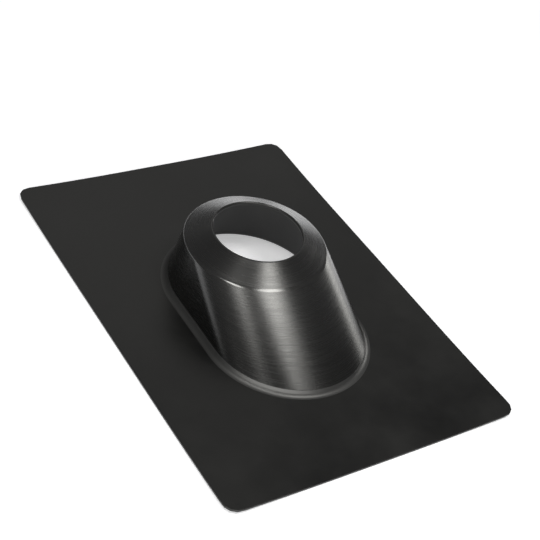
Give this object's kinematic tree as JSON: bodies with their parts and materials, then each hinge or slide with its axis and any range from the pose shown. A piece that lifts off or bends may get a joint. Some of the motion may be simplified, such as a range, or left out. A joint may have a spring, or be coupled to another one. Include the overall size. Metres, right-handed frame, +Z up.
{
  "type": "pipe flashing",
  "caption": "Moulded pipe flashing: a thin rectangular flange with a hollow slanted boot that closes in to a round collar, to seal a vent pipe where it leaves a roof.",
  "frame": {"origin": "middle of the flange's underside", "axes": "+Z up through the collar and the pipe hole, +Y along the flange towards its uphill end, away from the long slope of the boot"},
  "size_m": [0.32, 0.447, 0.071],
  "materials": {
    "flashing": "black satin moulded elastomer, fine turned lines on the boot and the collar"
  },
  "bodies": {
    "root": {"flashing": "flashing"}
  },
  "joints": []
}
